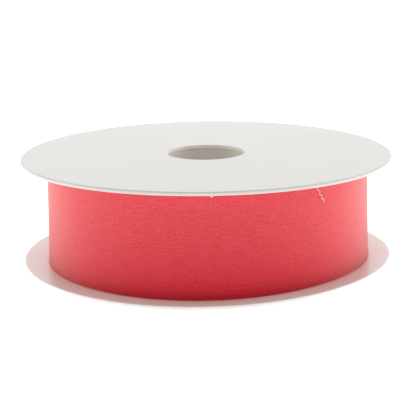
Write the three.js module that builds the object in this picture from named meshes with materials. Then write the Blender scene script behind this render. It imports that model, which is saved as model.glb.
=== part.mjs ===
import * as THREE from 'three';

// A roll of elastic tape, wound on a spool with two flat flanges and a round hub.
// Lengths are in millimetres and +Z is up. The origin is the middle of the
// spool's underside, and -Y is the front.

// Driving dimensions
const FLANGE_DIAMETER = 150;
const FLANGE_THICKNESS = 1.5;
const BORE_DIAMETER = 32;
const HUB_DIAMETER = 40;
const TAPE_WIDTH = 40;
const TAPE_LENGTH = 10000;
const TAPE_THICKNESS = 1.2;
const SEAT_GAP = 0.3; // between each piece and its neighbour

// Radius of the rounded edges
const RIM_ROUND = 0.4;
const BORE_ROUND = 0.25;
const TAPE_EDGE_ROUND = 0.35;

// Steps in a full turn, and in one rounded edge
const TURN_STEPS = 96;
const OUTER_EDGE_STEPS = 2;
const INNER_EDGE_STEPS = 1;

// The tape's cut outer end lies at the back of the roll
const OUTER_END_ANGLE = Math.PI / 2;

// Sizes worked out from the driving dimensions
const boreRadius = BORE_DIAMETER / 2;
const hubRadius = HUB_DIAMETER / 2;
const flangeRadius = FLANGE_DIAMETER / 2;
const windingInnerRadius = hubRadius + SEAT_GAP;
const windingBottom = FLANGE_THICKNESS + SEAT_GAP;
const upperFlangeBottom = windingBottom + TAPE_WIDTH + SEAT_GAP;

// The wound tape's area, seen from above, is its length times its thickness
const windingMeanRadius = Math.sqrt(windingInnerRadius ** 2 + (TAPE_LENGTH * TAPE_THICKNESS) / Math.PI);
const windingEndRadius = windingMeanRadius + TAPE_THICKNESS / 2;

const whitePlastic = { color: 0xe8e8e5, roughness: 0.45, metalness: 0 };
const warmPlastic = { color: 0xd8d0c4, roughness: 0.55, metalness: 0 };
const redElastic = { color: 0xdc4f5c, roughness: 0.9, metalness: 0 };

// A quarter circle of the given radius round (x, y), from startAngle on
function edgePoints(x, y, radius, startAngle, steps) {
  const points = [];
  for (let step = 0; step <= steps; step += 1) {
    const angle = startAngle + (Math.PI / 2) * (step / steps);
    points.push(new THREE.Vector2(x + radius * Math.cos(angle), y + radius * Math.sin(angle)));
  }
  return points;
}

// A ring with a rectangular section and rounded edges, standing on z = 0
function ringGeometry(innerRadius, outerRadius, height, innerRound, outerRound) {
  const outer = outerRadius - outerRound;
  const inner = innerRadius + innerRound;
  const section = [
    ...edgePoints(outer, outerRound, outerRound, -Math.PI / 2, OUTER_EDGE_STEPS),
    ...edgePoints(outer, height - outerRound, outerRound, 0, OUTER_EDGE_STEPS),
    ...edgePoints(inner, height - innerRound, innerRound, Math.PI / 2, INNER_EDGE_STEPS),
    ...edgePoints(inner, innerRound, innerRound, Math.PI, INNER_EDGE_STEPS),
  ];
  section.push(section[0].clone());
  const geometry = new THREE.LatheGeometry(section, TURN_STEPS);
  geometry.rotateX(Math.PI / 2);
  return geometry;
}

// The outer face of the roll is the last turn of a spiral: it starts at the cut
// end and loses one thickness on its way round, past the right side and the front
function windingOutline() {
  const outline = new THREE.Shape();
  for (let step = 0; step <= TURN_STEPS; step += 1) {
    const share = step / TURN_STEPS;
    const angle = OUTER_END_ANGLE - 2 * Math.PI * share;
    const radius = windingEndRadius - TAPE_THICKNESS * share;
    const x = radius * Math.cos(angle);
    const y = radius * Math.sin(angle);
    if (step === 0) outline.moveTo(x, y);
    else outline.lineTo(x, y);
  }
  outline.closePath();
  const core = new THREE.Path();
  core.absarc(0, 0, windingInnerRadius, 0, 2 * Math.PI, false);
  outline.holes.push(core);
  return outline;
}

function windingGeometry() {
  return new THREE.ExtrudeGeometry(windingOutline(), {
    depth: TAPE_WIDTH - 2 * TAPE_EDGE_ROUND,
    curveSegments: TURN_STEPS / 2,
    bevelEnabled: true,
    bevelThickness: TAPE_EDGE_ROUND,
    bevelSize: TAPE_EDGE_ROUND,
    bevelOffset: -TAPE_EDGE_ROUND,
    bevelSegments: OUTER_EDGE_STEPS,
  });
}

function makePiece(name, geometry, look, height) {
  const piece = new THREE.Mesh(geometry, new THREE.MeshStandardMaterial(look));
  piece.name = name;
  piece.position.z = height;
  return piece;
}

function makeFlange(name, height) {
  const disc = ringGeometry(boreRadius, flangeRadius, FLANGE_THICKNESS, BORE_ROUND, RIM_ROUND);
  return makePiece(name, disc, whitePlastic, height);
}

function makeHub() {
  const tube = ringGeometry(boreRadius, hubRadius, TAPE_WIDTH, BORE_ROUND, BORE_ROUND);
  return makePiece('hub', tube, warmPlastic, windingBottom);
}

function makeTapeRoll() {
  return makePiece('tape_roll', windingGeometry(), redElastic, windingBottom + TAPE_EDGE_ROUND);
}

const group = new THREE.Group();
group.add(makeFlange('flange_bottom', 0));
group.add(makeHub());
group.add(makeTapeRoll());
group.add(makeFlange('flange_top', upperFlangeBottom));

export default group;
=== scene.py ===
import math
import random

import bmesh
import bpy
import numpy as np
from mathutils import Matrix, Vector, noise


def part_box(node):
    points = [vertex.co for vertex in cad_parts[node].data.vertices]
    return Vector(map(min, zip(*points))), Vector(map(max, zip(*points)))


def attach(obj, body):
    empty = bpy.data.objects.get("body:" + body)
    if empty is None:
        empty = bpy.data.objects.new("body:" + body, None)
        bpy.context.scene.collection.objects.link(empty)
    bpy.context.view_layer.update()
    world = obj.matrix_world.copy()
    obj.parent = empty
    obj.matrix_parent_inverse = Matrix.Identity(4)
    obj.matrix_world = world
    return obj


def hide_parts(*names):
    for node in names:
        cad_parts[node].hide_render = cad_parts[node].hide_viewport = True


# A roll of elastic tape on a white spool, lying on a pale studio floor.
# Lengths are in metres, +Z is up and -Y is the front.

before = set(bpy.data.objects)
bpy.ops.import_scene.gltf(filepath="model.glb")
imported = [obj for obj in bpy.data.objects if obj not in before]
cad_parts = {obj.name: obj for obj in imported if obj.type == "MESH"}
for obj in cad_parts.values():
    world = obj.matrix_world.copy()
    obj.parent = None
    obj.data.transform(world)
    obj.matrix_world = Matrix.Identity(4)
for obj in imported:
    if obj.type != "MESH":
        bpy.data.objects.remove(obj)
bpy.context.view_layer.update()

MM = 0.001
TURN = 2 * math.pi

# Sizes read from the frame
low_disc, high_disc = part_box("flange_bottom"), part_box("flange_top")
hub_box, roll_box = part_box("hub"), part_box("tape_roll")
DISC_RADIUS = high_disc[1].x
HUB_RADIUS = hub_box[1].x
TAPE_WIDTH = roll_box[1].z - roll_box[0].z
TAPE_END_RADIUS = roll_box[1].y  # the cut end lies at the back
GROOVE_BOTTOM, GROOVE_TOP = low_disc[1].z, high_disc[0].z

# Sizes that the frame's boxes don't give
BORE_RADIUS = 15.8 * MM
TAPE_PITCH = 1.2 * MM
TAPE_THICKNESS = 1.13 * MM
WINDING_INNER_RADIUS = HUB_RADIUS + 0.3 * MM
END_ANGLE = math.pi / 2

# Camera, as fitted to the outlines in the photograph
CAMERA_PLACE = Vector((0, -519.5 * MM, 144.4 * MM))
CAMERA_PITCH = math.radians(13.54)
CAMERA_YAW = math.radians(0.15)
CAMERA_ROLL = math.radians(0.89)
FOCAL_PIXELS = 1297
FRAME_PIXELS = 420
SENSOR_WIDTH = 36.0
CLIP_START, CLIP_END = 0.01, 20


# Meshes

SHARP_ANGLE = math.radians(50)  # edges that bend more than this are shaded sharp


def skin(name, rings, closed_path, attributes=None):
    """A mesh through rings of points, each ring closed. An open path gets a cap at each end."""
    rings = np.asarray(rings, float)
    count, around = rings.shape[:2]
    spans = count if closed_path else count - 1
    here = np.arange(spans)[:, None] * around
    there = (np.arange(spans)[:, None] + 1) % count * around
    point = np.arange(around)[None, :]
    after = (point + 1) % around
    quads = np.stack([here + point, here + after, there + after, there + point], -1)
    faces = quads.reshape(-1, 4).tolist()
    if not closed_path:
        faces.append(list(range(around))[::-1])
        faces.append(list(range((count - 1) * around, count * around)))
    mesh = bpy.data.meshes.new(name)
    mesh.from_pydata(rings.reshape(-1, 3).tolist(), [], faces)
    for key, values in (attributes or {}).items():
        layer = mesh.attributes.new(key, "FLOAT", "POINT")
        layer.data.foreach_set("value", np.asarray(values, np.float32).ravel())
    mesh.polygons.foreach_set("use_smooth", [True] * len(mesh.polygons))
    mesh.update()
    mesh.set_sharp_from_angle(angle=SHARP_ANGLE)
    return bpy.data.objects.new(name, mesh)


def show(obj, material, slot, *nodes):
    """Puts a finished piece into the scene, on the roll's only body."""
    bpy.context.scene.collection.objects.link(obj)
    obj.data.materials.append(material)
    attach(obj, "root")
    if nodes:
        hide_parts(*nodes)


def arc(x, y, radius, start_degrees, steps):
    """A quarter circle round (x, y), counter-clockwise from start_degrees."""
    angles = [math.radians(start_degrees + 90 * k / steps) for k in range(steps + 1)]
    return [(x + radius * math.cos(a), y + radius * math.sin(a)) for a in angles]


def between(start, end, steps):
    """The values between start and end, without either."""
    return [start + (end - start) * k / steps for k in range(1, steps)]


def even_angles(steps):
    return [TURN * k / steps for k in range(steps)]


def clamped(share):
    return min(1.0, max(0.0, share))


def waves(table, angle):
    """A height in metres: the sum of (waves in a turn, height in mm, crest in degrees)."""
    return MM * sum(
        height * math.cos(count * (angle - math.radians(crest)))
        for count, height, crest in table
    )


def revolve(name, section, angles, bend=None, marks=None):
    """A closed section of (radius, height) points, turned round the Z axis and bent there.

    marks names functions of (radius, height, angle), which become attributes of the mesh.
    """
    rings = []
    for angle in angles:
        c, s = math.cos(angle), math.sin(angle)
        points = [bend(r, z, angle) for r, z in section] if bend else section
        rings.append([(r * c, r * s, z) for r, z in points])
    layers = {
        key: [[mark(r, z, angle) for r, z in section] for angle in angles]
        for key, mark in (marks or {}).items()
    }
    return skin(name, rings, True, layers)


# Spool

RIM_ROUND = 0.4 * MM
RIM_ROUND_STEPS = 6
BORE_ROUND = 0.12 * MM
BORE_ROUND_STEPS = 4
SUPPORT = 0.4 * MM  # the narrow ring of face beside each rounded edge
FACE_STEPS = 16
DISC_STEPS = 288

# How the rims of the thin discs bend up and down on their way round
LOW_RIM_WAVES = [(0, 0.545, 0), (1, 0.14, 10), (2, 0.535, -27.4), (3, 0.12, -12)]
HIGH_RIM_WAVES = [(1, 0.158, -166), (2, 0.232, 89.6)]

# Extra radii on the lower disc's face, to both sides of the tape's foot
FOOT_STEP = 0.4 * MM
FOOT_RADII = [TAPE_END_RADIUS + k * FOOT_STEP for k in range(-4, 13)]

# Painted highlights and painted red bounce light, as shares of the highlight's colour and of the bounce
# light's colour
PAINTED_PALE_SHARE = 0.33
RIM_HIGHLIGHT_START = 1.2  # in roundings, inwards from the rim's edge
CORNER_BOUNCE = 0.7
CORNER_WIDTH = 0.6 * MM
FACE_BOUNCE = 0.2
FACE_BOUNCE_WIDTH = 8 * MM
FACE_TOLERANCE = 0.01 * MM  # a point this little below the face is still on it

# The nib that the mould left under the upper disc's rim
NIB_ANGLE = math.radians(-88.6)
NIB_WIDTH = 0.45 * MM
NIB_DROP = 0.5 * MM
NIB_REACH = 0.25 * MM
NIB_STEPS = 14
NIB_SPREAD = 3 * NIB_WIDTH / DISC_RADIUS
NIB_CLEARANCE = 1.1 * NIB_SPREAD

# The hub's seams to the discs, and the groove inside it
HUB_SEAM = 0.08 * MM
HUB_GROOVE = 0.12 * MM
HUB_STEPS = 160


def low_lift(radius, angle):
    return waves(LOW_RIM_WAVES, angle) * (radius / DISC_RADIUS) ** 2


def high_lift(radius, angle):
    return waves(HIGH_RIM_WAVES, angle) * (radius / DISC_RADIUS) ** 2


def disc_section(bottom, top, top_extra=()):
    """A disc's section. The radii in top_extra are added on its upper face."""
    outer, inner = DISC_RADIUS - RIM_ROUND, BORE_RADIUS + BORE_ROUND
    section = arc(outer, bottom + RIM_ROUND, RIM_ROUND, -90, RIM_ROUND_STEPS)
    section += arc(outer, top - RIM_ROUND, RIM_ROUND, 0, RIM_ROUND_STEPS)
    section += [(outer - SUPPORT, top)]
    face = set(between(outer - SUPPORT, inner + SUPPORT, FACE_STEPS)) | set(top_extra)
    section += [(r, top) for r in sorted(face, reverse=True)]
    section += [(inner + SUPPORT, top)]
    section += arc(inner, top - BORE_ROUND, BORE_ROUND, 90, BORE_ROUND_STEPS)
    section += arc(inner, bottom + BORE_ROUND, BORE_ROUND, 180, BORE_ROUND_STEPS)
    section += [(inner + SUPPORT, bottom)]
    section += [(r, bottom) for r in between(inner + SUPPORT, outer - SUPPORT, FACE_STEPS)]
    section += [(outer - SUPPORT, bottom)]
    return section


def bore_highlight(radius, height, angle):
    """The edge of the bore is painted white, as a painted highlight."""
    return 1.0 if radius < BORE_RADIUS + BORE_ROUND else 0.0


def beyond_foot(radius, angle):
    """How far a point of the lower disc lies outside the tape's foot."""
    return radius - face_radius(turn_at(angle), 0)


def low_disc_highlight(radius, height, angle):
    """The lower disc also gets painted light: paler outside the tape, and a painted white highlight at
    its rim.
    """
    rim = clamped((radius - DISC_RADIUS) / RIM_ROUND + RIM_HIGHLIGHT_START)
    face = PAINTED_PALE_SHARE * clamped(beyond_foot(radius, angle) / CORNER_WIDTH)
    return max(bore_highlight(radius, height, angle), rim, face)


def high_disc_highlight(radius, height, angle):
    """The upper disc is painted paler under its rim, as a painted highlight."""
    middle = (high_disc[0].z + high_disc[1].z) / 2
    low_rim = radius > DISC_RADIUS - RIM_ROUND and height < middle
    return max(bore_highlight(radius, height, angle), PAINTED_PALE_SHARE if low_rim else 0.0)


def painted_bounce(radius, height, angle):
    """Painted red bounce light from the tape on the lower disc: strongest in the corner at the tape's
    foot, weaker further out.
    """
    if height < low_disc[1].z - FACE_TOLERANCE:
        return 0.0
    out = max(0.0, beyond_foot(radius, angle))
    corner = CORNER_BOUNCE * math.exp(-(out / CORNER_WIDTH) ** 2)
    return corner + FACE_BOUNCE * max(0.0, 1 - out / FACE_BOUNCE_WIDTH)


def lower_disc():
    def bend(radius, height, angle):
        return radius, height + low_lift(radius, angle)

    section = disc_section(low_disc[0].z, low_disc[1].z, FOOT_RADII)
    marks = {"painted_highlight": low_disc_highlight, "painted_bounce": painted_bounce}
    return revolve("disc_lower", section, even_angles(DISC_STEPS), bend, marks)


def from_nib(angle):
    """The angle from the nib, at most half a turn to either side."""
    return (angle - NIB_ANGLE + math.pi) % TURN - math.pi


def upper_disc():
    """The same disc as the lower one, with the nib under its rim."""
    bottom, top = high_disc[0].z, high_disc[1].z

    def bend(radius, height, angle):
        nib = math.exp(-(from_nib(angle) * DISC_RADIUS / NIB_WIDTH) ** 2)
        low = max(0.0, 1 - (height - bottom) / RIM_ROUND)
        rim = clamped((radius - DISC_RADIUS + 2 * RIM_ROUND) / RIM_ROUND)
        share = nib * low * rim
        return radius + NIB_REACH * share, height + high_lift(radius, angle) - NIB_DROP * share

    near = [NIB_ANGLE + NIB_SPREAD * k / NIB_STEPS for k in range(-NIB_STEPS, NIB_STEPS + 1)]
    clear = [a for a in even_angles(DISC_STEPS) if abs(from_nib(a)) > NIB_CLEARANCE]
    angles = sorted(clear + [a % TURN for a in near])
    return revolve("disc_upper", disc_section(bottom, top), angles, bend, {"painted_highlight": high_disc_highlight})


def hub():
    """The hub's tube: its wall has a fine groove where its two collars meet."""
    bottom, top = GROOVE_BOTTOM + HUB_SEAM, GROOVE_TOP - HUB_SEAM
    middle = (bottom + top) / 2
    section = [
        (HUB_RADIUS, bottom),
        (HUB_RADIUS, top),
        (BORE_RADIUS + BORE_ROUND, top),
        (BORE_RADIUS, top - BORE_ROUND),
        (BORE_RADIUS, middle + HUB_GROOVE),
        (BORE_RADIUS + HUB_GROOVE, middle),
        (BORE_RADIUS, middle - HUB_GROOVE),
        (BORE_RADIUS, bottom + BORE_ROUND),
        (BORE_RADIUS + BORE_ROUND, bottom),
    ]
    return revolve("hub_tube", section, even_angles(HUB_STEPS))


# Tape

EDGE_ROUND = 0.5 * MM
ALL_TURNS = (TAPE_END_RADIUS - WINDING_INNER_RADIUS) / TAPE_PITCH
OUTER_TURNS = 1.06
INNER_START = OUTER_TURNS + 0.002  # just behind the end of the outer piece
OUTER_STEPS = 480
INNER_STEPS = 2400

# Steps across the tape's outer face, its back and each of its rounded edges
OUTER_SECTION = (36, 6, 4)
INNER_SECTION = (4, 4, 2)

# The loose outer turns lean: how far they stand out at their two edges
LOW_EDGE_WAVES = [(0, 1.0, 0), (1, 1.07, -74), (2, 0.6, -100)]
HIGH_EDGE_WAVES = [(0, -0.25, 0), (1, 0.25, 0)]
LOW_EDGE_GAP = 0.1 * MM
HIGH_EDGE_GAP = 0.30 * MM
END_CURL = 0.4 * MM
END_CURL_TURN = 0.025

# Uneven edges and an uneven face: waves in a turn or in a metre, and a place in the noise
EDGE_WANDER = 0.05 * MM
EDGE_WANDER_WAVES = 2.3
EDGE_WANDER_PLACE = 0.7
FACE_RIPPLE = 0.03 * MM
FACE_RIPPLE_WAVES = 60
FACE_RIPPLE_PLACE = 3.1


def turn_at(angle):
    """The outermost turn's share at an angle, counted inwards from the cut end."""
    return ((END_ANGLE - angle) / TURN) % 1


def face_radius(turn, share):
    """Radius of the tape's outer face, at a share of its width above its lower edge."""
    angle = END_ANGLE - TURN * turn
    lean = waves(HIGH_EDGE_WAVES, angle) * share + waves(LOW_EDGE_WAVES, angle) * (1 - share)
    curl = END_CURL * max(0.0, 1 - turn / END_CURL_TURN) ** 2
    return TAPE_END_RADIUS - TAPE_PITCH * turn + lean * (1 - turn / ALL_TURNS) + curl


def edge_heights(turn):
    """Heights of the tape's two edges, which follow the discs and wander a little."""
    angle = END_ANGLE - TURN * turn
    radius = TAPE_END_RADIUS - TAPE_PITCH * turn
    place = Vector((turn * EDGE_WANDER_WAVES, EDGE_WANDER_PLACE, 0))
    wander = EDGE_WANDER * noise.noise(place)
    low = GROOVE_BOTTOM + low_lift(radius, angle) + LOW_EDGE_GAP + wander
    high = GROOVE_TOP + min(0.0, high_lift(radius, angle)) - HIGH_EDGE_GAP + wander
    return low, high


def tape_section(face_steps, back_steps, edge_steps):
    """The tape's own section: (depth below its outer face, height above its lower edge)."""
    deep, wide, e = TAPE_THICKNESS, TAPE_WIDTH, EDGE_ROUND
    section = arc(e, e, e, 180, edge_steps)[::-1]
    section += [(0, h) for h in between(e, wide - e, face_steps)]
    section += arc(e, wide - e, e, 90, edge_steps)[::-1]
    section += arc(deep - e, wide - e, e, 0, edge_steps)[::-1]
    section += [(deep, h) for h in between(wide - e, e, back_steps)]
    section += arc(deep - e, e, e, -90, edge_steps)[::-1]
    return section


def tape_point(turn, depth, height, swell=0.0):
    """A point of the tape: depth is measured from its outer face, height from its lower edge."""
    share = height / TAPE_WIDTH
    angle = END_ANGLE - TURN * turn
    radius = face_radius(turn, share) - depth + swell
    low, high = edge_heights(turn)
    return Vector((radius * math.cos(angle), radius * math.sin(angle), low + (high - low) * share))


def tape_strip(name, first_turn, last_turn, steps, section, ripple):
    """Tape wound from first_turn to last_turn, both counted inwards from the cut outer end."""
    rings, along, across = [], [], []
    length = 0.0
    for k in range(steps + 1):
        turn = first_turn + (last_turn - first_turn) * k / steps
        if k:
            length += (TAPE_END_RADIUS - TAPE_PITCH * turn) * TURN * (last_turn - first_turn) / steps
        ring = []
        for depth, height in section:
            place = Vector((length * FACE_RIPPLE_WAVES, height * FACE_RIPPLE_WAVES, FACE_RIPPLE_PLACE))
            ring.append(tape_point(turn, depth, height, ripple * noise.noise(place)))
        rings.append(ring)
        along.append([length] * len(section))
        across.append([height for depth, height in section])
    return skin(name, rings, False, {"along": along, "across": across})


# Threads

TIP_SHARE = 0.35  # how thick a thread still is at its last point
TIP_POINTS = 4

THREAD_RADIUS = 0.21 * MM
THREAD_SIDES = 8
THREAD_START = math.radians(-52.5)
THREAD_SLOPE = math.radians(0.5) / MM
THREAD_DROP = 8.4 * MM
THREAD_CRIMP = 1.77 * MM
THREAD_SWING = math.radians(0.36)
THREAD_STEPS = 90

# How far the thread stands off the tape's face, in its own radii
THREAD_STAND = 1.15
THREAD_LOOP = 0.4

# Where the thread comes out over the tape's edge: inwards from its bend, and upwards
THREAD_TUCKED = (1.6 * MM, 0.17 * MM)
THREAD_OVER = (0.5 * MM, 0.2 * MM)

FRAY_PITCH = 0.8 * MM
FRAY_RADIUS = 0.11 * MM
FRAY_SIDES = 6
FRAY_LENGTHS = (0.15 * MM, 0.8 * MM)
FRAY_DEPTHS = (0.25, 0.75)
FRAY_SHIFT = 0.2
FRAY_SIDE = 0.35
FRAY_RISE = (-0.1, 0.5)
FRAY_POINTS = (-0.4, 0.0, 0.35, 0.7, 1.0)
FRAY_SEED = 7


def tube_rings(path, radius, sides):
    """Rings of points round a path, thinner at its last end."""
    rings = []
    for k, point in enumerate(path):
        ahead = path[min(k + 1, len(path) - 1)] - path[max(k - 1, 0)]
        turn = ahead.to_track_quat("Z", "Y").to_matrix()
        thin = min(1.0, TIP_SHARE + (len(path) - 1 - k) / TIP_POINTS)
        rings.append([
            point + turn @ Vector((math.cos(a), math.sin(a), 0)) * radius * thin
            for a in even_angles(sides)
        ])
    return rings


def tubes(name, paths, radius, sides):
    """One mesh of a round tube along each path."""
    parts = [skin(name, tube_rings(path, radius, sides), False) for path in paths]
    joined = bmesh.new()
    for part in parts:
        joined.from_mesh(part.data)
        bpy.data.meshes.remove(part.data)
    mesh = bpy.data.meshes.new(name)
    joined.to_mesh(mesh)
    joined.free()
    return bpy.data.objects.new(name, mesh)


def loose_thread():
    """A short crimped thread that comes out over the tape's upper edge and hangs down its face."""
    path = []
    for k in range(THREAD_STEPS + 1):
        drop = THREAD_DROP * k / THREAD_STEPS
        phase = TURN * drop / THREAD_CRIMP
        angle = THREAD_START + THREAD_SLOPE * drop + THREAD_SWING * math.sin(phase)
        stand = THREAD_RADIUS * (THREAD_STAND + THREAD_LOOP * (1 - math.cos(2 * phase)))
        path.append(tape_point(turn_at(angle), -stand, TAPE_WIDTH - drop))
    bend = path[0]
    inwards = Vector((-bend.x, -bend.y, 0)).normalized()
    start = [bend + inwards * far + Vector((0, 0, up)) for far, up in (THREAD_TUCKED, THREAD_OVER)]
    return tubes("loose_thread", [start + path], THREAD_RADIUS, THREAD_SIDES)


def frayed_end():
    """The short ends of the tape's own threads, along its cut end."""
    dice = random.Random(FRAY_SEED)
    along = Vector((-math.sin(END_ANGLE), math.cos(END_ANGLE), 0))
    outwards = Vector((math.cos(END_ANGLE), math.sin(END_ANGLE), 0))
    paths = []
    for k in range(1, round(TAPE_WIDTH / FRAY_PITCH)):
        depth = TAPE_THICKNESS * dice.uniform(*FRAY_DEPTHS)
        root = tape_point(0, depth, k * FRAY_PITCH + dice.uniform(-FRAY_SHIFT, FRAY_SHIFT) * MM)
        reach = dice.uniform(*FRAY_LENGTHS)
        side = dice.uniform(-FRAY_SIDE, FRAY_SIDE)
        rise = dice.uniform(*FRAY_RISE)
        aside = Vector((0, 0, side)) + outwards * rise
        paths.append([
            root + along * reach * share + aside * reach * max(0.0, share) ** 2
            for share in FRAY_POINTS
        ])
    return tubes("frayed_end", paths, FRAY_RADIUS, FRAY_SIDES)


# Materials

def new_material(name, colour, roughness, **inputs):
    material = bpy.data.materials.new(name)
    material.use_nodes = True
    shader = material.node_tree.nodes["Principled BSDF"]
    shader.inputs["Base Color"].default_value = (*colour, 1)
    shader.inputs["Roughness"].default_value = roughness
    for key, value in inputs.items():
        shader.inputs[key.replace("_", " ")].default_value = value
    return material, material.node_tree, shader


class Graph:
    """Short calls for the nodes of one material."""

    def __init__(self, tree):
        self.tree = tree

    def node(self, kind, **settings):
        made = self.tree.nodes.new("ShaderNode" + kind)
        for key, value in settings.items():
            setattr(made, key, value)
        return made

    def plug(self, value, socket):
        if isinstance(value, bpy.types.NodeSocket):
            self.tree.links.new(value, socket)
        else:
            socket.default_value = value

    def maths(self, operation, *values):
        made = self.node("Math", operation=operation)
        for value, socket in zip(values, made.inputs):
            self.plug(value, socket)
        return made.outputs[0]

    def add(self, first, second):
        return self.maths("ADD", first, second)

    def times(self, first, second):
        return self.maths("MULTIPLY", first, second)

    def attribute(self, name):
        return self.node("Attribute", attribute_name=name).outputs["Fac"]

    def vector(self, x, y, z):
        made = self.node("CombineXYZ")
        for value, socket in zip((x, y, z), made.inputs):
            self.plug(value, socket)
        return made.outputs[0]

    def noise(self, place, scale, detail=2.0, roughness=0.5):
        made = self.node("TexNoise")
        self.plug(place, made.inputs["Vector"])
        made.inputs["Scale"].default_value = scale
        made.inputs["Detail"].default_value = detail
        made.inputs["Roughness"].default_value = roughness
        return made.outputs["Fac"]

    def ramp(self, value, *stops):
        made = self.node("ValToRGB")
        self.plug(value, made.inputs[0])
        band = made.color_ramp
        while len(band.elements) < len(stops):
            band.elements.new(0.5)
        for element, (place, colour) in zip(band.elements, stops):
            element.position = place
            element.color = (*colour, 1)
        return made.outputs["Color"]

    def mix(self, share, low, high):
        made = self.node("Mix", data_type="RGBA")
        for value, socket in zip((share, low, high), (made.inputs[0], made.inputs[6], made.inputs[7])):
            self.plug(value, socket)
        return made.outputs[2]

    def bump(self, height, distance, strength, before=None):
        made = self.node("Bump")
        self.plug(height, made.inputs["Height"])
        made.inputs["Distance"].default_value = distance
        made.inputs["Strength"].default_value = strength
        if before:
            self.tree.links.new(before, made.inputs["Normal"])
        return made.outputs["Normal"]

    def place(self):
        return self.node("TexCoord").outputs["Object"]


RIB_PITCH = 0.5 * MM
PICK_PITCH = 0.42 * MM
PICK_FLOOR = 1.4  # lifts the picks' waves, which run from -1 to 1, above zero
WEAVE_DEPTH = 0.2
WEAVE_WANDER = 1.6  # in ribs

# Bumps: depth and strength
FUZZ_BUMP = (0.10 * MM, 0.35)
WEAVE_BUMP = (0.05 * MM, 0.5)
SURFACE_BUMP = (0.2 * MM, 0.2)

# Grain of the elastic: waves in a metre along and across the tape, and the noise's detail
WANDER_GRAIN = (500, 700, 2.0)
FLUFF_GRAIN = (900, 1100, 3.0)
STREAK_GRAIN = (240, 1900, 2.0)
CLOUD_GRAIN = (160, 240, 2.0)

# How much of the tone comes from each
WEAVE_SHARE, FLUFF_SHARE, STREAK_SHARE, CLOUD_SHARE = 0.12, 0.42, 0.34, 0.12

# The reds of a dark, a middling and a pale tone: deeper at the tape's lower edge as painted shade, and
# paler near its upper one as painted sheen
TONES = (0.28, 0.46, 0.66)
SHADED_LOW_REDS = ((0.53, 0.000, 0.008), (0.60, 0.002, 0.019), (0.67, 0.008, 0.033))
SHEEN_LIT_HIGH_REDS = ((0.70, 0.036, 0.052), (0.79, 0.074, 0.092), (0.86, 0.114, 0.133))

# Where the painted sheen starts over the painted shade, as a share of the tape's width, and how it grows
PAINTED_LIGHT_START = 0.04
PAINTED_LIGHT_POWER = 0.55


def elastic_material():
    """Woven coral red elastic: fine ribs along its length, crossed by picks, under a short fuzz."""
    material, tree, shader = new_material(
        "elastic_weave", (0.74, 0.028, 0.058), 0.88,
        Sheen_Weight=0.7, Sheen_Roughness=0.5, Sheen_Tint=(1, 0.86, 0.80, 1), Specular_IOR_Level=0.2,
    )
    g = Graph(tree)
    along, across = g.attribute("along"), g.attribute("across")

    def grain(along_scale, across_scale, detail, roughness=0.6):
        place = g.vector(g.times(along, along_scale), g.times(across, across_scale), 0)
        return g.noise(place, 1.0, detail, roughness)

    wander = g.maths("SUBTRACT", grain(*WANDER_GRAIN, roughness=0.5), 0.5)
    wander = g.times(wander, WEAVE_WANDER)
    rib_place = g.add(g.maths("DIVIDE", across, RIB_PITCH), wander)
    rib = g.maths("COSINE", g.times(rib_place, TURN))
    shift = g.times(g.maths("FLOOR", rib_place), 0.5)
    pick_place = g.add(g.add(g.maths("DIVIDE", along, PICK_PITCH), shift), wander)
    pick = g.maths("COSINE", g.times(pick_place, TURN))
    weave = g.times(g.maths("SUBTRACT", 1.0, rib), g.add(PICK_FLOOR, pick))
    weave = g.times(weave, WEAVE_DEPTH)

    fluff, streak, cloud = grain(*FLUFF_GRAIN), grain(*STREAK_GRAIN), grain(*CLOUD_GRAIN)
    tone = g.times(weave, WEAVE_SHARE)
    for layer, share in ((fluff, FLUFF_SHARE), (streak, STREAK_SHARE), (cloud, CLOUD_SHARE)):
        tone = g.add(tone, g.times(layer, share))
    shaded_reds = g.ramp(tone, *zip(TONES, SHADED_LOW_REDS))
    sheen_lit_reds = g.ramp(tone, *zip(TONES, SHEEN_LIT_HIGH_REDS))
    # Painted light: painted shade deepens the red at the lower edge, painted sheen pales it towards the
    # upper edge
    height = g.maths("DIVIDE", across, TAPE_WIDTH)
    risen = g.maths("MAXIMUM", g.maths("SUBTRACT", height, PAINTED_LIGHT_START), 0.0)
    painted_light_share = g.maths("POWER", risen, PAINTED_LIGHT_POWER)
    tree.links.new(g.mix(painted_light_share, shaded_reds, sheen_lit_reds), shader.inputs["Base Color"])

    fuzz = g.bump(fluff, *FUZZ_BUMP)
    tree.links.new(g.bump(weave, *WEAVE_BUMP, fuzz), shader.inputs["Normal"])
    return material


# The first colour paints highlights on the discs, the second paints red light bounced from the tape onto
# the lower disc
HIGHLIGHT_COLOUR = (0.94, 0.91, 0.88)
BOUNCE_COLOUR = (0.96, 0.20, 0.15)
FLOW_SHADE = 0.975  # the share of the plastic's colour that its darker flow lines keep
FLOW_WAVES = 22.0
HANDLING_WAVES = 260.0
HANDLING_ROUGHNESS = 0.04  # between the smoothest and the roughest spots
PATCH_LEAST, PATCH_SPAN = 0.7, 0.5  # how much the painted highlights and painted bounce light vary from spot to spot
SURFACE_WAVES = 40.0


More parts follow.
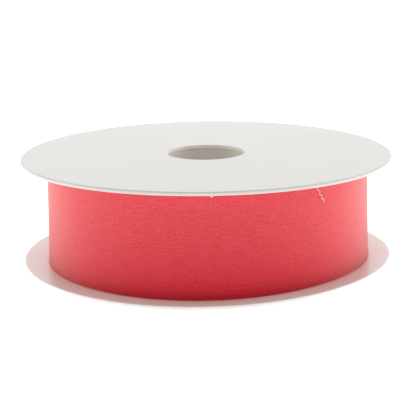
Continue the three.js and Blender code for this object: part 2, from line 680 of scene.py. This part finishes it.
def plastic_material(name, colour, roughness):
    """Moulded white plastic, with a faint flow pattern and fine handling marks, and with painted
    highlights and painted red bounce light where the mesh marks them.
    """
    material, tree, shader = new_material(name, colour, roughness, IOR=1.5)
    g = Graph(tree)
    place = g.place()
    flow = g.noise(place, FLOW_WAVES, 3.0)
    shaded = tuple(c * FLOW_SHADE for c in colour)
    clean = g.ramp(flow, (0.35, shaded), (0.65, colour))
    handling = g.noise(place, HANDLING_WAVES, 3.0)
    patchy = g.add(PATCH_LEAST, g.times(handling, PATCH_SPAN))
    # Painted highlights are mixed into the plastic's colour
    highlighted = g.mix(g.times(g.attribute("painted_highlight"), patchy), clean, (*HIGHLIGHT_COLOUR, 1))
    # Painted red bounce light from the tape is mixed in over that
    bounce_lit = g.mix(g.times(g.attribute("painted_bounce"), patchy), highlighted, (*BOUNCE_COLOUR, 1))
    tree.links.new(bounce_lit, shader.inputs["Base Color"])
    polish = g.times(handling, HANDLING_ROUGHNESS)
    polish = g.add(roughness - HANDLING_ROUGHNESS / 2, polish)
    tree.links.new(polish, shader.inputs["Roughness"])
    surface = g.noise(place, SURFACE_WAVES, 1.0)
    tree.links.new(g.bump(surface, *SURFACE_BUMP), shader.inputs["Normal"])
    return material


THREAD_WAVES = 5000.0
THREAD_PINKS = ((0.3, (0.90, 0.42, 0.37)), (0.7, (1.0, 0.60, 0.54)))


def thread_material():
    material, tree, shader = new_material("thread", (0.95, 0.52, 0.47), 0.6, Sheen_Weight=0.3)
    g = Graph(tree)
    pink = g.ramp(g.noise(g.place(), THREAD_WAVES), *THREAD_PINKS)
    tree.links.new(pink, shader.inputs["Base Color"])
    return material


# Studio

FLOOR_REACH = 6.0
FLOOR_GLOW = 0.74
SKY_GLOW = 0.45

# Soft boxes: place and size in metres, power in watts
LIGHTS = {
    "low_left": ((-0.9, 0.35, 0.25), (0.7, 0.5), 3.2),
    "low_right": ((0.9, 0.35, 0.25), (0.7, 0.5), 4.5),
    "top": ((0, 0.1, 1.3), (1.0, 1.0), 1.4),
    "top_front": ((0, -0.3, 1.3), (1.0, 0.4), 1.3),
    "top_back": ((0, 0.5, 1.2), (1.2, 0.6), 1.0),
    "back": ((0, 1.2, 0.5), (1.4, 0.9), 4.0),
    "back_left": ((-0.9, 0.4, 0.8), (0.8, 0.6), 1.2),
    "back_right": ((0.9, 0.4, 0.8), (0.8, 0.6), 0.8),
}
LIGHT_AIM = Vector((0, 0, 0.02))

# Soft boxes whose mirror images would bleach the discs when the roll is seen from its sides
UNMIRRORED = ("low_left", "low_right")


def studio_floor():
    r = FLOOR_REACH
    mesh = bpy.data.meshes.new("floor")
    mesh.from_pydata([(-r, -r, 0), (r, -r, 0), (r, r, 0), (-r, r, 0)], [], [(0, 1, 2, 3)])
    floor = bpy.data.objects.new("floor", mesh)
    bpy.context.scene.collection.objects.link(floor)
    material, tree, shader = new_material("pale_floor", (0.93, 0.93, 0.93), 0.8, Specular_IOR_Level=0.2)
    shader.inputs["Emission Color"].default_value = (1, 1, 1, 1)
    shader.inputs["Emission Strength"].default_value = FLOOR_GLOW
    mesh.materials.append(material)


def soft_light(name, place, size, power):
    data = bpy.data.lights.new(name, "AREA")
    data.shape = "RECTANGLE"
    data.size, data.size_y = size
    data.energy = power
    light = bpy.data.objects.new(name, data)
    light.location = place
    light.rotation_euler = (LIGHT_AIM - Vector(place)).to_track_quat("-Z", "Y").to_euler()
    light.visible_camera = False
    light.visible_glossy = name not in UNMIRRORED
    bpy.context.scene.collection.objects.link(light)


def studio_lights():
    world = bpy.data.worlds.new("studio")
    world.use_nodes = True
    world.node_tree.nodes["Background"].inputs["Color"].default_value = (1, 1, 1, 1)
    world.node_tree.nodes["Background"].inputs["Strength"].default_value = SKY_GLOW
    bpy.context.scene.world = world
    for name, (place, size, power) in LIGHTS.items():
        soft_light(name, place, size, power)


def camera():
    data = bpy.data.cameras.new("camera")
    data.sensor_width = SENSOR_WIDTH
    data.lens = FOCAL_PIXELS / FRAME_PIXELS * SENSOR_WIDTH
    data.clip_start, data.clip_end = CLIP_START, CLIP_END
    level = math.cos(CAMERA_PITCH)
    ahead = Vector((
        math.sin(CAMERA_YAW) * level,
        math.cos(CAMERA_YAW) * level,
        -math.sin(CAMERA_PITCH),
    ))
    right = Vector((math.cos(CAMERA_YAW), -math.sin(CAMERA_YAW), 0))
    up = right.cross(ahead)
    rolled_right = right * math.cos(CAMERA_ROLL) - up * math.sin(CAMERA_ROLL)
    rolled_up = rolled_right.cross(ahead)
    eye = bpy.data.objects.new("camera", data)
    turn = Matrix((rolled_right, rolled_up, -ahead)).transposed().to_4x4()
    eye.matrix_world = Matrix.Translation(CAMERA_PLACE) @ turn
    bpy.context.scene.collection.objects.link(eye)
    bpy.context.scene.camera = eye


# The roll

camera()
studio_floor()
studio_lights()
bpy.context.scene.view_settings.view_transform = "Standard"

white_plastic = plastic_material("white_plastic", (0.64, 0.63, 0.60), 0.30)
hub_plastic = plastic_material("hub_plastic", (0.71, 0.65, 0.585), 0.55)
elastic = elastic_material()

show(lower_disc(), white_plastic, "flange_plastic", "flange_bottom")
show(upper_disc(), white_plastic, "flange_plastic", "flange_top")
show(hub(), hub_plastic, "hub_plastic", "hub")
show(
    tape_strip("tape_outer_turn", 0, OUTER_TURNS, OUTER_STEPS, tape_section(*OUTER_SECTION), FACE_RIPPLE),
    elastic, "elastic", "tape_roll",
)
show(
    tape_strip("tape_inner_turns", INNER_START, ALL_TURNS, INNER_STEPS, tape_section(*INNER_SECTION), 0),
    elastic, "elastic", "tape_roll",
)
show(frayed_end(), elastic, "elastic")
show(loose_thread(), thread_material(), "elastic")
